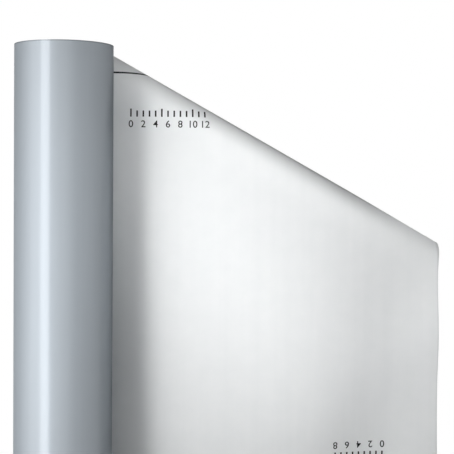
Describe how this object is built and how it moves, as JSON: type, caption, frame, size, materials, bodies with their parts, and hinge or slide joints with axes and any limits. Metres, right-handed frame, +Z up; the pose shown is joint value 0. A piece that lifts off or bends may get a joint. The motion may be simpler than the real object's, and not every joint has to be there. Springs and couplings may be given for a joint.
{
  "type": "vapour control film roll",
  "caption": "Roll of vapour control film on a cardboard core, standing on its end, with its loose end drawn off and the free top corner folded over to the back.",
  "frame": {"origin": "centre of the core's bore at the roll's lower end, which stands on the floor", "axes": "+Z up along the roll's axis, +X along the drawn-off loose end, +Y towards the back, where the loose end leaves the roll"},
  "size_m": [0.6863, 0.1833, 1.5],
  "materials": {
    "film_outer": "glossy blue-grey outer face of the film",
    "film_inner": "satin near-white inner face of the film",
    "cardboard": "spirally wound brown board, plain"
  },
  "bodies": {
    "root": {"wound_roll": "film_outer", "core_tube": "cardboard", "loose_end": "film_inner"}
  },
  "joints": []
}
